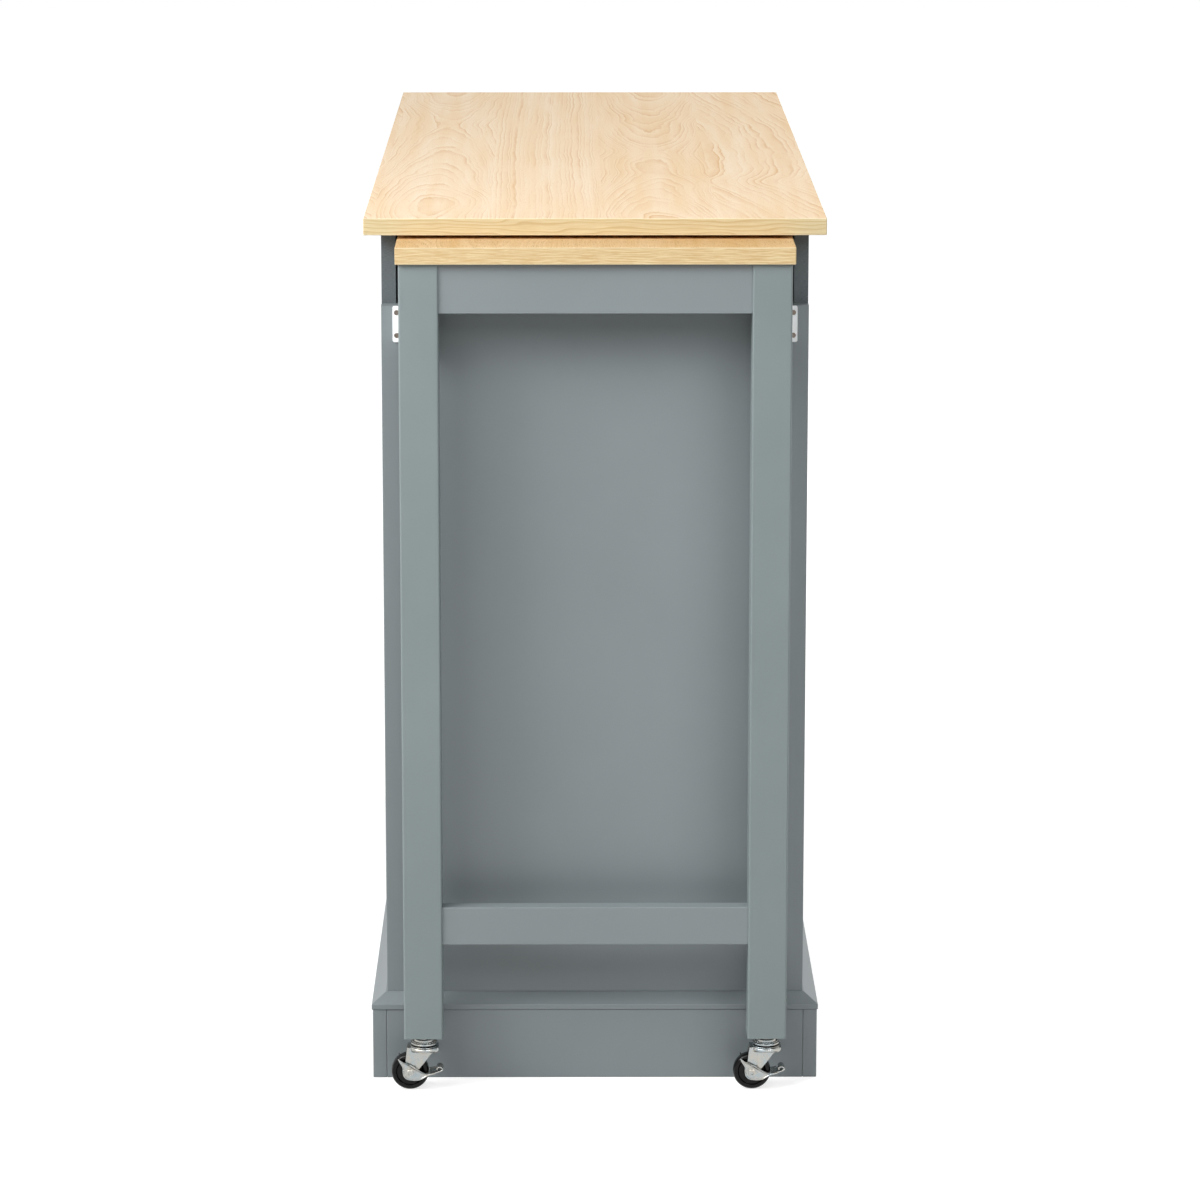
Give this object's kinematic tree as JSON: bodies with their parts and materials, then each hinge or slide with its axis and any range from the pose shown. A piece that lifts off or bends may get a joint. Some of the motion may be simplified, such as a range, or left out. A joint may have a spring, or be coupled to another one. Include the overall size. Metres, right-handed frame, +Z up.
{
  "type": "kitchen island",
  "caption": "Kitchen island with a wood-grain worktop on a painted body and a pull-out table on casters that stows in a slot under the worktop.",
  "frame": {"origin": "on the floor under the middle of the plinth", "axes": "+X towards the table end, -Y towards the doors and drawers, +Z up"},
  "size_m": [1.26, 0.485, 0.93],
  "materials": {
    "oak_laminate": "satin wood-grain laminate",
    "grey_paint": "satin grey-blue paint on board",
    "melamine_board": "matt melamine-faced board",
    "zinc_steel": "bright zinc-plated pressed steel",
    "black_rubber": "moulded, slightly glossy",
    "white_plastic": "moulded, satin",
    "nylon_strip": "smooth",
    "ferrite_magnet": "matt sintered",
    "brushed_nickel": "brushed nickel plating",
    "hinge_steel": "nickel-plated steel",
    "screw_steel": "zinc-plated steel",
    "runner_steel": "white powder coat"
  },
  "bodies": {
    "cabinet": {"back_panel": "grey_paint", "bay_divider": "grey_paint", "cabinet_floor": "grey_paint", "cabinet_hinge_leaves": "hinge_steel", "cabinet_shelf": "grey_paint", "catch_magnets": "ferrite_magnet", "catch_screws": "screw_steel", "door_catch": "white_plastic", "drawer_deck": "grey_paint", "drawer_divider": "grey_paint", "drawer_runners": "runner_steel", "end_mouldings": "grey_paint", "far_end_panel": "grey_paint", "front_top_rail": "grey_paint", "glide_strips": "nylon_strip", "hinge_pins": "hinge_steel", "leg_catches": "white_plastic", "lower_open_shelf": "grey_paint", "plinth_brace": "grey_paint", "plinth_end_boards": "grey_paint", "plinth_side_boards": "grey_paint", "pull_out_stops": "melamine_board", "shelf_pins": "screw_steel", "side_mouldings": "grey_paint", "table_deck": "grey_paint", "table_end_panel": "grey_paint", "toe_board": "grey_paint", "upper_open_shelf": "grey_paint", "worktop": "oak_laminate"},
    "table": {"back_leg": "grey_paint", "caster_mounts": "zinc_steel", "extension_top": "oak_laminate", "front_leg": "grey_paint", "strike_plates": "screw_steel", "table_apron": "grey_paint", "table_rear_rail": "grey_paint", "table_side_rails": "grey_paint", "table_stretcher": "grey_paint"},
    "front_caster": {"front_caster_fork": "zinc_steel"},
    "front_wheel": {"front_caster_wheel": "black_rubber"},
    "front_brake": {"front_caster_brake": "zinc_steel"},
    "back_caster": {"back_caster_fork": "zinc_steel"},
    "back_wheel": {"back_caster_wheel": "black_rubber"},
    "back_brake": {"back_caster_brake": "zinc_steel"},
    "left_door": {"left_door_frame": "grey_paint", "left_door_hinge_leaves": "hinge_steel", "left_door_knob": "brushed_nickel", "left_door_panel": "grey_paint"},
    "right_door": {"right_door_frame": "grey_paint", "right_door_hinge_leaves": "hinge_steel", "right_door_knob": "brushed_nickel", "right_door_panel": "grey_paint"},
    "left_drawer": {"left_drawer_box": "melamine_board", "left_drawer_front": "grey_paint", "left_drawer_knob": "brushed_nickel", "left_drawer_slides": "runner_steel"},
    "right_drawer": {"right_drawer_box": "melamine_board", "right_drawer_front": "grey_paint", "right_drawer_knob": "brushed_nickel", "right_drawer_slides": "runner_steel"}
  },
  "joints": [
    {"name": "table_slide", "type": "slide", "parent": "cabinet", "child": "table", "axis": [1, 0, 0], "range_m": [0, 0.8]},
    {"name": "front_caster_swivel", "type": "hinge", "parent": "table", "child": "front_caster", "pos_m": [0.634, -0.182, 0.05], "axis": [0, 0, 1], "continuous": true},
    {"name": "front_wheel_spin", "type": "hinge", "parent": "front_caster", "child": "front_wheel", "pos_m": [0.634, -0.197, 0.0203], "axis": [1, 0, 0], "continuous": true},
    {"name": "front_brake_press", "type": "hinge", "parent": "front_caster", "child": "front_brake", "pos_m": [0.634, -0.197, 0.0203], "axis": [-1, 0, 0], "range_deg": [0, 18]},
    {"name": "back_caster_swivel", "type": "hinge", "parent": "table", "child": "back_caster", "pos_m": [0.634, 0.182, 0.05], "axis": [0, 0, 1], "continuous": true},
    {"name": "back_wheel_spin", "type": "hinge", "parent": "back_caster", "child": "back_wheel", "pos_m": [0.634, 0.167, 0.0203], "axis": [1, 0, 0], "continuous": true},
    {"name": "back_brake_press", "type": "hinge", "parent": "back_caster", "child": "back_brake", "pos_m": [0.634, 0.167, 0.0203], "axis": [-1, 0, 0], "range_deg": [0, 18]},
    {"name": "left_door_swing", "type": "hinge", "parent": "cabinet", "child": "left_door", "pos_m": [-0.56675, -0.2265, 0.3915], "axis": [0, 0, -1], "range_deg": [0, 110]},
    {"name": "right_door_swing", "type": "hinge", "parent": "cabinet", "child": "right_door", "pos_m": [0.22175, -0.2265, 0.3915], "axis": [0, 0, 1], "range_deg": [0, 110]},
    {"name": "left_drawer_slide", "type": "slide", "parent": "cabinet", "child": "left_drawer", "axis": [0, -1, 0], "range_m": [0, 0.3]},
    {"name": "right_drawer_slide", "type": "slide", "parent": "cabinet", "child": "right_drawer", "axis": [0, -1, 0], "range_m": [0, 0.3]}
  ]
}
